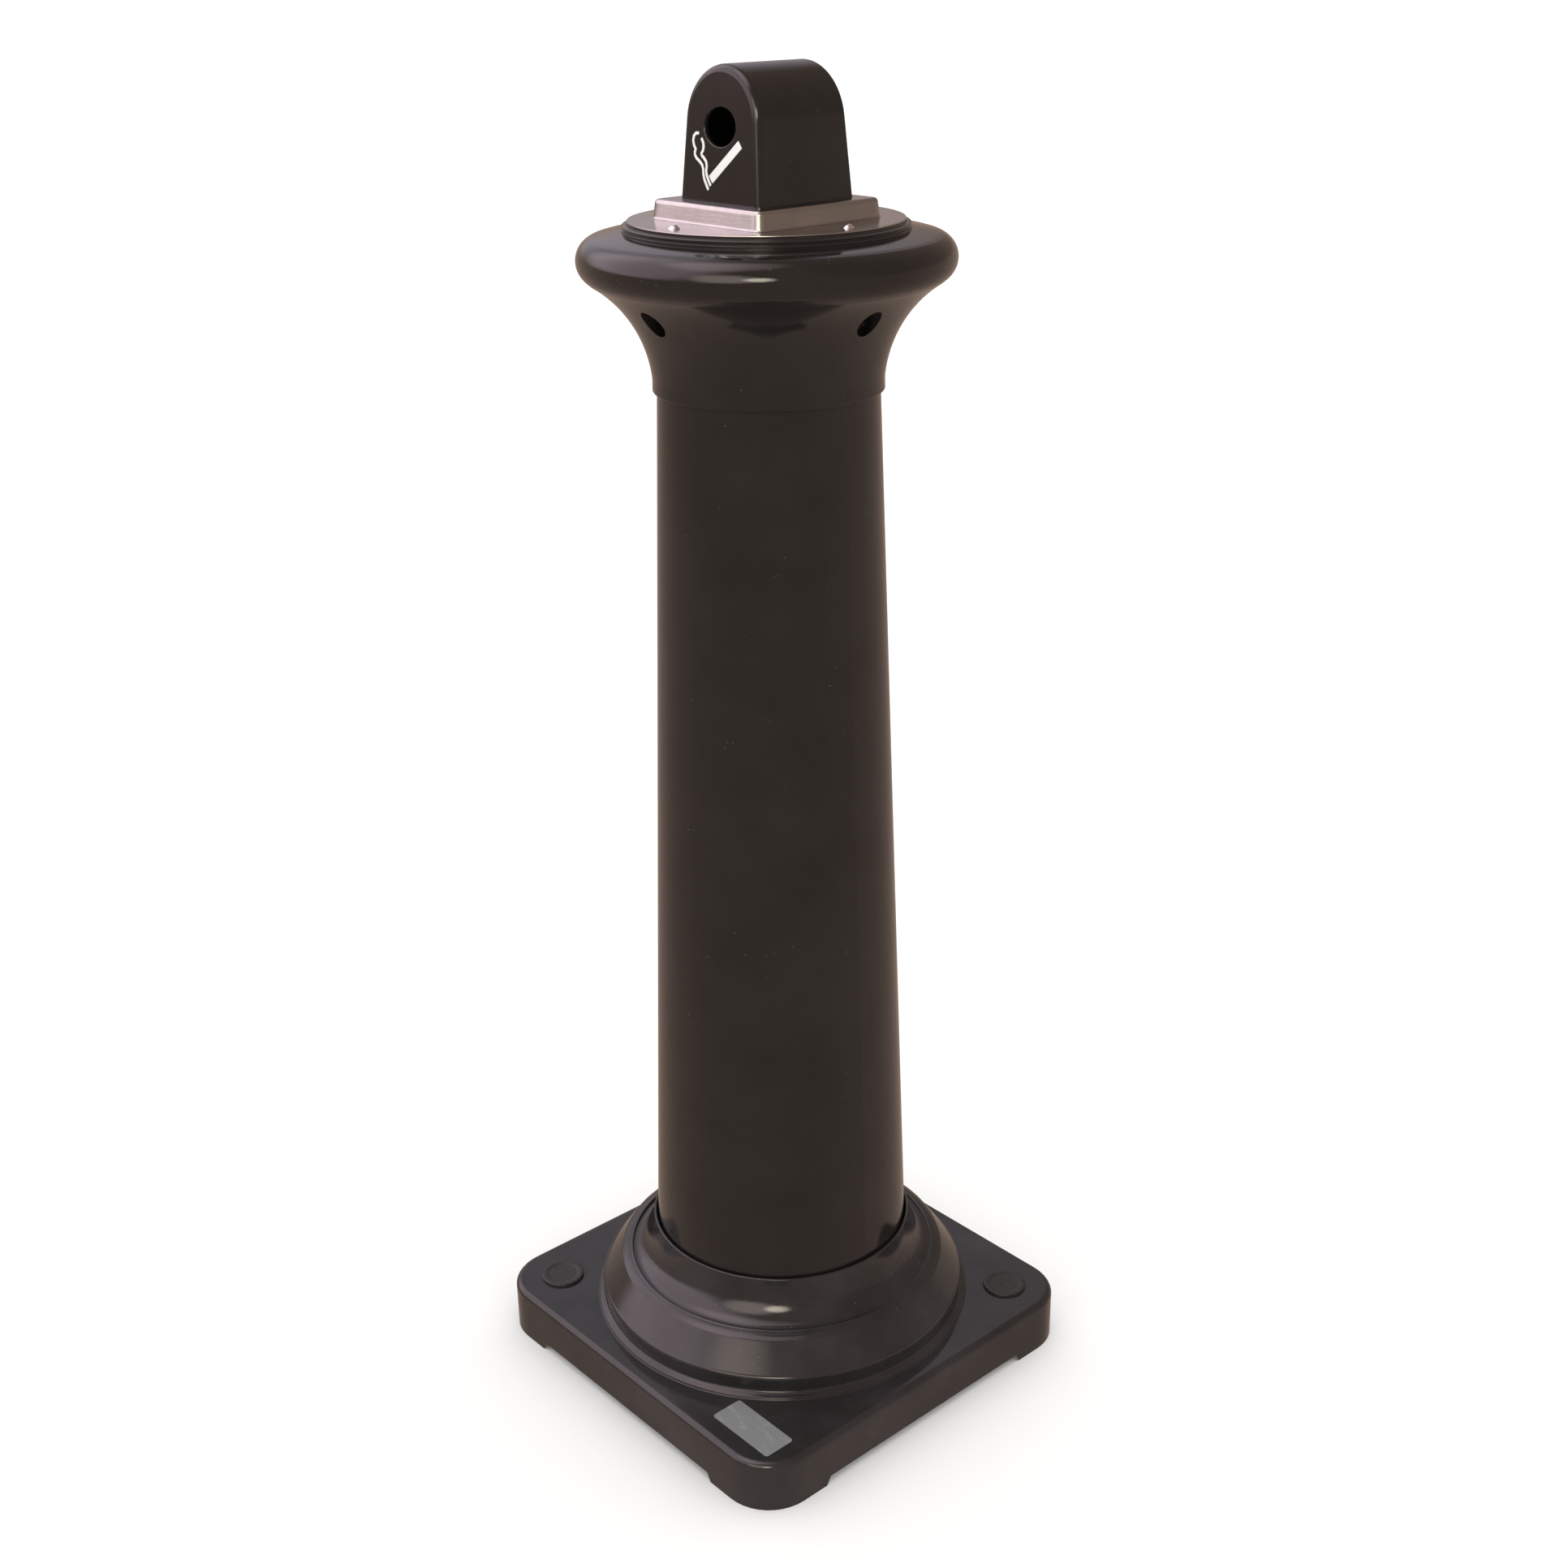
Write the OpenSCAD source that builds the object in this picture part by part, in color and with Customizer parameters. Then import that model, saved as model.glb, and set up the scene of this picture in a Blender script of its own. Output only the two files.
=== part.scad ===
/* [Overall] */
// Height of the whole bin
total_h = 975; // [930:5:1080]
// Width and depth of the square base
base_w = 330; // [320:5:400]

/* [Base] */
// Corner radius of the base, seen from above
base_corner_r = 38; // [30:1:44]
// Height of the slab's top face
slab_h = 41; // [36:1:60]
// Rounding of the slab's top edge
slab_edge_r = 5; // [2:1:8]
// Clear height under the slab, between the feet
foot_h = 7; // [4:1:12]
// Length of a foot along an edge, from the corner
foot_len = 64.5; // [55:0.5:75]
// Run of the sloping end of a foot
foot_slope = 4; // [2:1:8]
// Thickness of the pad that closes a foot
foot_pad_t = 5; // [3:1:8]
// Wall of the base moulding
base_wall = 4; // [3:0.5:6]
// Radius of the moulded ring where it leaves the slab
ring_r = 148; // [146:1:152]
// Height of the collar round the column
collar_z = 115; // [105:1:150]
// Thickness of the collar's lip
collar_lip = 2; // [1.5:0.5:3]
// Height of the floor that the column and the pail stand on
floor_z = 72; // [66:1:80]

/* [Anchors] */
// Distance of an anchor hole from the base's edges
anchor_inset = 38; // [33:1:43]
// Radius of an anchor hole in the foot pad
anchor_hole_r = 5.5; // [4:0.5:7]
// Radius of the recess above an anchor hole
anchor_recess_r = 14; // [12:0.5:15]
// Radius of the plug's cap
plug_cap_r = 17; // [16:0.5:19]
// Height of the plug's cap above the slab
plug_cap_h = 2.2; // [1.5:0.1:4]
// Depth of the plug's skirt
plug_skirt_h = 12; // [8:1:18]
// Wall of the plug's skirt
plug_wall = 2; // [1:0.5:3]

/* [Ballast] */
// Thickness of the ballast plate
ballast_t = 10; // [6:1:14]
// Width of each arm of the ballast plate
ballast_arm_w = 188; // [170:1:196]
// Radius of the four ballast screws' shanks
ballast_screw_r = 2.5; // [2:0.5:4]
// Distance of the ballast screws from the base's edge
ballast_screw_inset = 24; // [20:1:30]
// Distance of the ballast screws from the sides of their arm
ballast_screw_side = 40; // [30:1:60]

/* [Column] */
// Outer radius of the column at the collar
column_r = 98.1; // [94:0.1:102]
// Outer radius of the column just under the capital
column_top_r = 75.5; // [72:0.5:79]
// Wall of the column
column_wall = 3.5; // [2.5:0.5:5]
// Step in from the column to its spigot
spigot_step = 1.1; // [0.8:0.1:2]
// Length of the spigot inside the capital
spigot_len = 60; // [56:1:70]
// Width of the two keys that stop the column turning
key_w = 6; // [4:1:10]
// Height of the keys
key_h = 12; // [8:1:16]

/* [Capital] */
// How far the capital's lower lip hangs below the shoulder
lip_drop = 5; // [3:1:8]
// Wall of the capital
capital_wall = 4; // [3:0.5:5]
// Wall of the sleeve round the spigot
sleeve_wall = 3.2; // [2.5:0.1:4]
// Radius of the concave flare
flare_r = 85; // [80:1:90]
// Height of the bulging rim's middle above the flare's foot
rim_rise = 78.5; // [76:0.5:81]
// Height of the lid's seat above the rim's middle
seat_rise = 18; // [17:0.5:19]
// Radius of the bulging rim's section
rim_section_r = 15.5; // [14:0.5:17]
// Radius at which the bulging rim's section is centred
rim_centre_r = 110.5; // [108:0.5:116]
// Radius of the screw pockets in the flare
pocket_r = 8.5; // [7:0.5:10]
// Radius of the capital screws' shanks
capital_screw_r = 2.4; // [2:0.1:3]

/* [Lid] */
// Radius of the lid ring
lid_r = 95.3; // [94:0.1:97]
// Height of the lid ring above its seat
lid_ring_h = 5.9; // [5:0.1:8]
// Depth of the skirt that drops into the capital
lid_skirt_h = 15; // [10:1:18]
// Radius of the mouth through the lid ring
lid_mouth_r = 50; // [48:0.5:51]
// Width of the ring that shows round the steel plate
plate_step = 3.8; // [3:0.1:5]
// Thickness of the steel sheet
sheet_t = 1.2; // [0.8:0.1:1.5]
// Half width of the raised plinth at its foot
plinth_half = 54.5; // [53:0.5:57]
// Height of the raised plinth above the plate
plinth_h = 12.4; // [11:0.1:15]
// Corner radius of the plinth
plinth_corner_r = 7; // [5:1:18]
// Rounding along the plinth's top edge
plinth_edge_r = 3; // [2:0.5:5]
// Radius of the drop hole through the plinth
drop_hole_r = 27; // [22:0.5:29]
// Distance of the plate rivets from the plate's edge
rivet_inset = 14; // [11:0.5:17]
// Radius of the plate rivets' shanks
rivet_r = 2; // [1.5:0.1:2.5]

/* [Head] */
// Height of the head above the plinth
head_h = 84; // [76:1:100]
// Half width of the head at its foot
head_half_w = 40; // [38:0.5:42]
// Half depth of the head at its foot
head_half_d = 41; // [39:0.5:42]
// Radius of the head's arched top
head_arch_r = 35.6; // [33:0.1:37]
// How much the front and the back lean in over the head's height
head_lean = 5; // [2:0.5:8]
// Rounding along the head's front edge
head_front_r = 5; // [4:1:12]
// Rounding along the head's rear edge
head_rear_r = 2; // [1:0.5:4]
// Wall of the head
head_wall = 3; // [2:0.5:4]
// Half width of the oval hole for cigarette ends
butt_hole_w = 15; // [12:0.5:17]
// Half height of that hole
butt_hole_h = 12; // [10:0.5:14]
// Height of that hole's middle above the head's foot
butt_hole_up = 46.4; // [42:0.1:50]
// Distance of the head's screws from each centre line
head_screw_offset = 31; // [29:0.5:32]
// Radius of the head's screws
head_screw_r = 2; // [1.5:0.1:2.5]

/* [Funnel] */
// Depth of the funnel's cone under the lid ring
funnel_cone_h = 57; // [40:1:70]
// Length of the funnel's spout
funnel_spout_h = 35; // [20:1:60]
// Outer radius of the spout
funnel_spout_r = 33; // [31:0.5:40]
// Radius of the funnel's flange
funnel_flange_r = 64; // [62:0.5:68]

/* [Pail] */
// Outer radius of the pail at its foot
pail_foot_r = 60; // [50:0.5:61]
// Outer radius of the pail at its mouth
pail_mouth_r = 66; // [64:0.5:68]
// Height of the pail
pail_h = 229; // [180:1:280]
// Thickness of the pail's sheet
pail_t = 1; // [0.8:0.1:1.2]
// Radius of the pail's rolled rim
pail_bead_r = 1.6; // [1.2:0.1:2]
// Depth of the pail's bottom above its foot
pail_bottom_up = 2; // [1:0.5:6]
// Height of the ring on the base's floor that centres the pail
pail_ring_h = 5; // [3:1:10]
// Thickness of that ring
pail_ring_t = 2.5; // [1.5:0.5:4]
// Distance of the bail's pivots below the pail's mouth
pivot_drop = 15; // [13:0.5:20]
// How far the bail's middle line stands out from the pail's mouth
bail_out = 10; // [9:0.5:11]
// Radius of the bail's wire
bail_wire_r = 2.5; // [2.4:0.1:2.8]
// Radius of the pins that the bail's ends are drawn down to
pivot_pin_r = 2.2; // [1.5:0.1:2.3]
// Outer radius of the grip on the bail
grip_r = 5; // [4:0.1:5.5]
// Angle that the grip covers along the bail
grip_angle = 52; // [30:1:90]
// How far the bail hangs below level when it is down
bail_hang = 19; // [10:1:21]

/* [Label] */
// Length of the blank label on the slab
label_w = 60; // [40:1:64]
// Width of the blank label
label_d = 26; // [15:1:28]
// Distance of the label from the slab's edges
label_inset = 17; // [12:1:20]
// Thickness of the label
label_t = 0.4; // [0.2:0.1:0.6]

/* [Hidden] */
$fn = 96;
cut = 1;                        // how far a cutter runs past a face
body_black = [0.16, 0.14, 0.13];
steel = [0.72, 0.70, 0.69];
zinc = [0.66, 0.68, 0.70];

// clearances
column_gap = 1.1;               // column in its socket, radial
spigot_gap = 0.4;               // spigot in the capital's sleeve, radial
lip_gap = 0.6;                  // capital's lip round the column, radial
lid_gap = 0.5;                  // lid skirt in the capital's mouth, radial
plug_gap = 0.8;                 // plug skirt in its recess, radial
key_gap = 0.5;                  // key in the column's slot, all round
screw_gap = 0.05;               // screws and rivets in their holes, radial
bail_gap = 0.05;                // bail in its ears, radial
pail_gap = 1.5;                 // pail's foot in its locating ring, radial
ballast_gap = 2;                // ballast plate inside the base wall

// heights and radii that follow from the driving ones
flare_step = 3;                 // from the column's shoulder up to the flare's foot
plinth_z = total_h - head_h;
plate_z = plinth_z - plinth_h - sheet_t;  // underside of the steel plate
seat_z = plate_z - lid_ring_h;  // flat seat for the lid
rim_z = seat_z - seat_rise;     // height of the bulging rim's middle
flare_z = rim_z - rim_rise;
shoulder_z = flare_z - flare_step;  // shoulder that the capital rests on
anchor_offset = base_w / 2 - anchor_inset;
plate_r = lid_r - plate_step;
rivet_pitch_r = plate_r - rivet_inset;
bail_r = pail_mouth_r + bail_out;
spigot_top = shoulder_z + spigot_len;
spigot_r = column_top_r - spigot_step;
sleeve_r = spigot_r + spigot_gap;
neck_r = sleeve_r + sleeve_wall + 0.4;  // outer radius at the foot of the flare
flare_a0 = 5;                   // slope of the flare at its foot, degrees
mouth_r = plate_r - 3.2;        // capital's mouth
pocket_z = flare_z + 46;
pocket_floor_r = sleeve_r + 9;
web_t = 4;                      // web of the lid ring under the plate
web_z = plate_z - web_t;
pivot_z = floor_z + pail_h - pivot_drop;
socket_r = column_r + column_gap;
ballast_z = foot_h + 1;

function polar(cx, cz, r, a0, a1, n) =
    [for (i = [0:n]) let (a = a0 + (a1 - a0) * i / n) [cx + r * cos(a), cz + r * sin(a)]];
function oval(cx, cz, rx, rz, a0, a1, n) =
    [for (i = [0:n]) let (a = a0 + (a1 - a0) * i / n) [cx + rx * cos(a), cz + rz * sin(a)]];

module at_corners(x, y) {
    for (sx = [-1, 1], sy = [-1, 1]) translate([sx * x, sy * y, 0]) children();
}

module around(count, start = 0) {
    for (i = [0:count - 1]) rotate([0, 0, start + i * 360 / count]) children();
}

// a cylinder along +X from x0 to x1
module rod_x(x0, x1, r) {
    translate([x0, 0, 0]) rotate([0, 90, 0]) cylinder(r = r, h = x1 - x0);
}

module round_square(w, d, r) {
    square([w - 2 * r, d], center = true);
    square([w, d - 2 * r], center = true);
    at_corners(w / 2 - r, d / 2 - r) circle(r = r);
}

// a disc whose side leans in by lean and whose top edge is rounded
module puck(r, z0, z1, edge, lean = 0) {
    rotate_extrude() polygon(concat([[0, z0], [r, z0]],
        polar(r - lean - edge, z1 - edge, edge, 0, 90, 5), [[0, z1]]));
}

// ---------------------------------------------------------------- base
module slab_form() {
    hull() at_corners(base_w / 2 - base_corner_r, base_w / 2 - base_corner_r)
        puck(base_corner_r, 0, slab_h, slab_edge_r, $fn = 48);
}

// channel under the slab that leaves the four feet
module foot_channel() {
    half = base_w / 2 - foot_len;
    for (a = [0, 90]) rotate([90, 0, a]) linear_extrude(base_w + 2 * cut, center = true)
        polygon([[-half - foot_slope, -cut], [half + foot_slope, -cut],
            [half + foot_slope, 0], [half, foot_h], [-half, foot_h], [-half - foot_slope, 0]]);
}

// moulded rings from the slab to the collar, shifted in by inset
function ring_outline(inset) =
    let (band_r = ring_r - 4, groove_r = socket_r + 21.5, groove_z = (slab_h + collar_z) / 2 + 5,
        shoulder = 4, collar_r = socket_r + collar_lip)
    concat(
        [[ring_r - inset, slab_h - 8], [ring_r - inset, slab_h + 1.2 - inset],
            [ring_r - 1.2 - inset, slab_h + 2 - inset], [band_r - inset, slab_h + 3 - inset]],
        polar(band_r - shoulder - inset, slab_h + 15 - inset, shoulder, 0, 48, 4),
        oval(groove_r - 4 - inset, slab_h + 12 - inset, band_r - groove_r, groove_z - slab_h - 12,
            62, 81, 4),
        [[groove_r - 0.6 - inset, groove_z - 0.6 - inset],
            [groove_r - 1 - inset, groove_z - 1.6 - inset]],
        oval(groove_r - 1.4 - inset, collar_z - 3, groove_r - 1.4 - collar_r,
            collar_z - groove_z - 1.4 + inset, 270, 180, 8));

module ring_form() {
    collar_r = socket_r + collar_lip;
    rotate_extrude() polygon(concat([[0, slab_h - 8]], ring_outline(0),
        [[collar_r, collar_z - 1], [collar_r - 0.6, collar_z], [0, collar_z]]));
}

module base_cavity() {
    inner = base_w - 2 * base_wall;
    difference() {
        translate([0, 0, -cut]) linear_extrude(slab_h - base_wall + cut)
            round_square(inner, inner, base_corner_r - base_wall);
        // foot pads, and the tubes above the anchor holes
        at_corners(base_w / 2, base_w / 2) translate([-foot_len, -foot_len, -2 * cut])
            cube([2 * foot_len, 2 * foot_len, foot_pad_t + 2 * cut]);
        for (s = [-1, 1]) translate([s * anchor_offset, s * anchor_offset, 0])
            cylinder(r = anchor_recess_r + base_wall, h = slab_h);
        // bosses for the ballast screws
        ballast_screw_places() translate([0, 0, ballast_z + ballast_t])
            cylinder(r = 3 * ballast_screw_r, h = slab_h);
    }
    // hollow of the moulded rings, round the socket
    difference() {
        rotate_extrude() polygon(concat([[0, slab_h - 8]], ring_outline(base_wall),
            [[socket_r, collar_z - base_wall]], [[0, collar_z - base_wall]]));
        translate([0, 0, floor_z - base_wall]) cylinder(r = socket_r + base_wall - 1, h = collar_z);
        ballast_screw_places() cylinder(r = 3 * ballast_screw_r, h = slab_h);
    }
}

module ballast_screw_places() {
    at_corners(base_w / 2 - ballast_screw_inset, ballast_arm_w / 2 - ballast_screw_side) children();
}

module base_shell() color(body_black) {
    difference() {
        union() {
            slab_form();
            ring_form();
        }
        foot_channel();
        base_cavity();
        translate([0, 0, floor_z]) cylinder(r = socket_r, h = collar_z);
        for (s = [-1, 1]) translate([s * anchor_offset, s * anchor_offset, 0]) {
            translate([0, 0, -cut]) cylinder(r = anchor_hole_r, h = slab_h);
            translate([0, 0, foot_pad_t]) cylinder(r = anchor_recess_r, h = slab_h);
        }
        ballast_screw_places() translate([0, 0, ballast_z + ballast_t - cut])
            cylinder(r = ballast_screw_r + screw_gap, h = 12 + cut);
    }
    // ring that centres the pail
    translate([0, 0, floor_z]) difference() {
        cylinder(r = pail_foot_r + pail_gap + pail_ring_t, h = pail_ring_h);
        translate([0, 0, -cut]) cylinder(r = pail_foot_r + pail_gap, h = pail_ring_h + 2 * cut);
    }
    // keys that stop the column turning
    around(2) intersection() {
        translate([column_r - column_wall + 2, -key_w / 2, floor_z])
            cube([column_wall + column_gap, key_w, key_h]);
        cylinder(r = socket_r + 0.5, h = collar_z);
    }
}

module ballast_plate() color([0.20, 0.20, 0.21]) difference() {
    reach = base_w - 2 * base_wall - 2 * ballast_gap;
    translate([0, 0, ballast_z]) linear_extrude(ballast_t) {
        round_square(reach, ballast_arm_w, 6);
        round_square(ballast_arm_w, reach, 6);
    }
    ballast_screw_places() translate([0, 0, ballast_z - cut])
        cylinder(r = ballast_screw_r + screw_gap, h = ballast_t + 2 * cut);
}

module pan_screw(r, length, head_r, head_h) {
    cylinder(r = r, h = length);
    translate([0, 0, -head_h]) difference() {
        puck_down(head_r, head_h);
        // hexagonal socket
        translate([0, 0, -cut]) cylinder(r = 0.42 * head_r, h = 0.55 * head_h + cut, $fn = 6);
    }
}

// a disc with its lower edge rounded
module puck_down(r, h) {
    translate([0, 0, h]) mirror([0, 0, 1]) puck(r, 0, h, h * 0.45);
}

module ballast_screws() color(zinc) ballast_screw_places()
    translate([0, 0, ballast_z]) pan_screw(ballast_screw_r, ballast_t + 11, 2 * ballast_screw_r, 3);

module base_label() color([0.62, 0.62, 0.61])
    translate([base_w / 2 - label_w / 2 - label_inset, -base_w / 2 + label_d / 2 + label_inset, slab_h])
        linear_extrude(label_t) round_square(label_w, label_d, 2.5);

module anchor_plug(side) color(body_black)
    translate([side * anchor_offset, side * anchor_offset, 0]) {
        skirt_r = anchor_recess_r - plug_gap;
        puck(plug_cap_r, slab_h, slab_h + plug_cap_h, 0.6 * plug_cap_h);
        translate([0, 0, slab_h - plug_skirt_h]) difference() {
            cylinder(r = skirt_r, h = plug_skirt_h);
            translate([0, 0, -cut]) cylinder(r = skirt_r - plug_wall, h = plug_skirt_h);
        }
    }
module anchor_plug_left() anchor_plug(-1);
module anchor_plug_right() anchor_plug(1);

// ---------------------------------------------------------------- column
module column_tube() color(body_black) difference() {
    rotate_extrude() polygon([
        [column_r - column_wall, floor_z], [column_r, floor_z], [column_r, collar_z],
        [column_top_r, shoulder_z], [spigot_r, shoulder_z], [spigot_r, spigot_top],
        [spigot_r - column_wall, spigot_top], [spigot_r - column_wall, shoulder_z + 4],
        [column_top_r - column_wall, shoulder_z], [column_r - column_wall, collar_z]]);
    around(2) translate([column_r - column_wall - cut, -key_w / 2 - key_gap, floor_z - cut])
        cube([column_wall + 2 * cut, key_w + 2 * key_gap, key_h + key_gap + cut]);
    around(4) translate([0, 0, pocket_z])
        rod_x(spigot_r - column_wall - cut, spigot_r + cut, capital_screw_r + screw_gap);
}

// ---------------------------------------------------------------- capital
flare_a1 = 58.3;                // slope of the flare where it meets the rim, degrees
function flare(offset, n) =
    [for (i = [0:n]) let (a = flare_a0 + (flare_a1 - flare_a0) * i / n)
        [neck_r + flare_r * (cos(flare_a0) - cos(a)) - offset * cos(a),
         flare_z + flare_r * (sin(a) - sin(flare_a0)) + offset * sin(a)]];
function reversed(list) = [for (i = [len(list) - 1:-1:0]) list[i]];

module capital_outside(shrink = 0) {
    rotate_extrude() polygon(concat([[0, flare_z]], flare(shrink, 14),
        polar(rim_centre_r, rim_z, rim_section_r - shrink, -58, 69, 16),
        [[mouth_r, seat_z - shrink], [0, seat_z - shrink]]));
}

module capital_wall_section() {
    lip_r = column_top_r + lip_gap;
    lip_z = shoulder_z - lip_drop;
    polygon(concat(
        [[lip_r, lip_z], [lip_r + 0.7, lip_z]], polar(neck_r - 2, lip_z + 2.4, 2, -45, 0, 3),
        flare(0, 14), polar(rim_centre_r, rim_z, rim_section_r, -58, 69, 16),
        [[lid_r + 1.5, seat_z], [mouth_r, seat_z], [mouth_r, seat_z - 5.5]],
        polar(rim_centre_r, rim_z, rim_section_r - capital_wall, 69, -54, 12),
        [for (p = reversed(flare(capital_wall, 14))) if (p[0] > sleeve_r + sleeve_wall + 0.5) p],
        [[sleeve_r + sleeve_wall, pocket_z - 26], [sleeve_r + sleeve_wall, spigot_top + 2],
            [sleeve_r, spigot_top + 2], [sleeve_r, shoulder_z], [lip_r, shoulder_z]]));
}

module capital_shell() color(body_black) difference() {
    union() {
        rotate_extrude() capital_wall_section();
        intersection() {
            around(4) translate([0, 0, pocket_z])
                rod_x(sleeve_r + 0.5, rim_centre_r, pocket_r + 3);
            capital_outside(1);
        }
    }
    around(4) translate([0, 0, pocket_z]) {
        rod_x(pocket_floor_r, rim_centre_r + rim_section_r, pocket_r);
        rod_x(sleeve_r - cut, pocket_floor_r + cut, capital_screw_r + screw_gap);
    }
}

module capital_screws() color(zinc) around(4) translate([pocket_floor_r, 0, pocket_z])
    rotate([0, -90, 0]) pan_screw(capital_screw_r, pocket_floor_r - spigot_r + column_wall + 1,
        2 * capital_screw_r, 2.8);

// ---------------------------------------------------------------- lid
module lid_ring() color(body_black) difference() {
    rotate_extrude() polygon([
        [mouth_r - lid_gap - 3.2, seat_z - lid_skirt_h], [mouth_r - lid_gap, seat_z - lid_skirt_h],
        [mouth_r - lid_gap, seat_z], [lid_r, seat_z], [lid_r, seat_z + 1.1],
        [lid_r - 1, seat_z + 1.5], [lid_r - 1, seat_z + 2.4], [lid_r - 0.4, seat_z + 2.8],
        [lid_r - 0.4, seat_z + 3.8], [lid_r - 1.4, seat_z + 4.3], [plate_r + 0.3, seat_z + 4.5],
        [plate_r + 0.3, plate_z], [lid_mouth_r, plate_z], [lid_mouth_r, web_z],
        [mouth_r - lid_gap - 3.2, web_z]]);
    around(4) translate([rivet_pitch_r, 0, web_z - cut])
        cylinder(r = rivet_r + screw_gap, h = web_t + 2 * cut);
    funnel_screw_places() translate([0, 0, web_z - cut])
        cylinder(r = funnel_screw_r + screw_gap, h = web_t);
}

module plinth_form(shrink, foot_z) {
    half = plinth_half - shrink;
    r = plinth_corner_r - shrink;
    hull() at_corners(half - r, half - r)
        puck(r, foot_z, plinth_z - shrink, plinth_edge_r - shrink, lean = 1.2, $fn = 32);
}

module snuff_plate() color(steel) difference() {
    union() {
        translate([0, 0, plate_z]) cylinder(r = plate_r, h = sheet_t);
        plinth_form(0, plate_z);
    }
    plinth_form(sheet_t, plate_z - cut);
    translate([0, 0, plate_z]) cylinder(r = drop_hole_r, h = 2 * plinth_h);
    around(4) translate([rivet_pitch_r, 0, plate_z - cut])
        cylinder(r = rivet_r + screw_gap, h = sheet_t + 2 * cut);
    head_screw_places() translate([0, 0, plate_z])
        cylinder(r = head_screw_r + screw_gap, h = 2 * plinth_h);
}

module plate_rivets() color(steel) around(4) translate([rivet_pitch_r, 0, 0]) {
    translate([0, 0, plate_z + sheet_t]) dome(4.2, 2.5);
    translate([0, 0, web_z - 0.5]) cylinder(r = rivet_r, h = web_t + sheet_t + 1);
    translate([0, 0, web_z]) mirror([0, 0, 1]) dome(3.4, 1.4);
}

// a spherical cap with a flat foot
module dome(r, h) {
    ball = (r * r + h * h) / (2 * h);
    foot_a = asin((ball - h) / ball);
    rotate_extrude() polygon(concat([[0, 0]], polar(0, h - ball, ball, foot_a, 90, 8)));
}

// ---------------------------------------------------------------- head
arch_z = total_h - head_arch_r; // height of the arch's centre
head_boss_r = head_half_w - head_wall - head_screw_offset + 1;
function head_lean_at(z) = head_lean * (z - plinth_z) / head_h;
// points round the head's outline, from foot to foot over the arch
function head_outline(inset) = concat(
    [[head_half_w - inset, plinth_z - head_front_r]],
    polar(0, arch_z, head_arch_r - inset, 0, 180, 18),
    [[-head_half_w + inset, plinth_z - head_front_r]]);

module head_form(shrink, foot_z = plinth_z) {
    front_r = head_front_r - shrink;
    depth = head_half_d - shrink;
    difference() {
        hull() {
            for (p = head_outline(shrink + front_r))
                translate([p[0], front_r - depth + head_lean_at(p[1]), p[1]])
                    sphere(r = front_r, $fn = 24);
            for (p = head_outline(shrink + head_rear_r))
                translate([p[0], depth - head_rear_r - head_lean_at(p[1]), p[1]])
                    sphere(r = head_rear_r, $fn = 12);
        }
        translate([-base_w / 2, -base_w / 2, foot_z - 4 * head_front_r])
            cube([base_w, base_w, 4 * head_front_r]);
    }
}

module head_screw_places() {
    at_corners(head_screw_offset, head_screw_offset) children();
}

module head_shell() color(body_black) difference() {
    union() {
        difference() {
            head_form(0);
            head_form(head_wall, plinth_z - cut);
        }
        intersection() {
            head_screw_places() translate([0, 0, plinth_z]) cylinder(r = head_boss_r, h = 14);
            head_form(0.5);
        }
    }
    translate([0, 0, plinth_z + butt_hole_up]) rotate([90, 0, 0]) linear_extrude(2 * head_half_d)
        polygon(oval(0, 0, butt_hole_w, butt_hole_h, 0, 355, 71));
    head_screw_places() translate([0, 0, plinth_z - cut])
        cylinder(r = head_screw_r + screw_gap, h = 11 + cut);
}

module head_screws() color(zinc) head_screw_places()
    translate([0, 0, plinth_z - sheet_t]) pan_screw(head_screw_r, sheet_t + 10, 3.8, 2.4);

// a ribbon of even width along a line of points
module ribbon(line, width) {
    last = len(line) - 1;
    sides = [for (i = [0:last]) let (
        way = line[min(i + 1, last)] - line[max(i - 1, 0)],
        side = [-way[1], way[0]] * width / 2 / norm(way)) [line[i] - side, line[i] + side]];
    polygon(concat([for (s = sides) s[0]], [for (s = reversed(sides)) s[1]]));
}

// cigarette on the head's front face, with two trails of smoke that start as its glowing end
cigarette_w = 5.6;
cigarette_len = 36;
trail_w = 1.9;
module pictogram() color([0.93, 0.93, 0.92])
    translate([0, -head_half_d, plinth_z]) rotate([90 - atan(head_lean / head_h), 0, 0])
        linear_extrude(0.3) {
            translate([-7.3, 14]) rotate(39.5)
                translate([0, -cigarette_w / 2]) square([cigarette_len, cigarette_w]);
            ribbon([[-7.4, 10.2], [-10.2, 14.3], [-11.6, 16.8], [-12, 19.4], [-11.6, 22], [-12.2, 24.6],
                [-14.4, 26.8], [-16.6, 28.2], [-17.2, 29.4], [-15.8, 31], [-15, 33.6], [-15.5, 36.2],
                [-17.3, 38.8]], trail_w);
            ribbon([[-9.6, 7.6], [-13.6, 13.6], [-14.8, 17], [-15, 20], [-16.2, 22.6], [-18.8, 24.6],
                [-22, 26.4], [-23.6, 28.4], [-23.6, 30.2], [-22.9, 31.8], [-24.6, 34], [-25.5, 37],
                [-24.9, 39.8], [-22.9, 41.6], [-20, 41.8]], trail_w);
        }

// ---------------------------------------------------------------- funnel
funnel_screw_r = 1.5;
module funnel_screw_places() {
    around(4, 45) translate([(funnel_flange_r + lid_mouth_r) / 2 + 1, 0, 0]) children();
}

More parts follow.
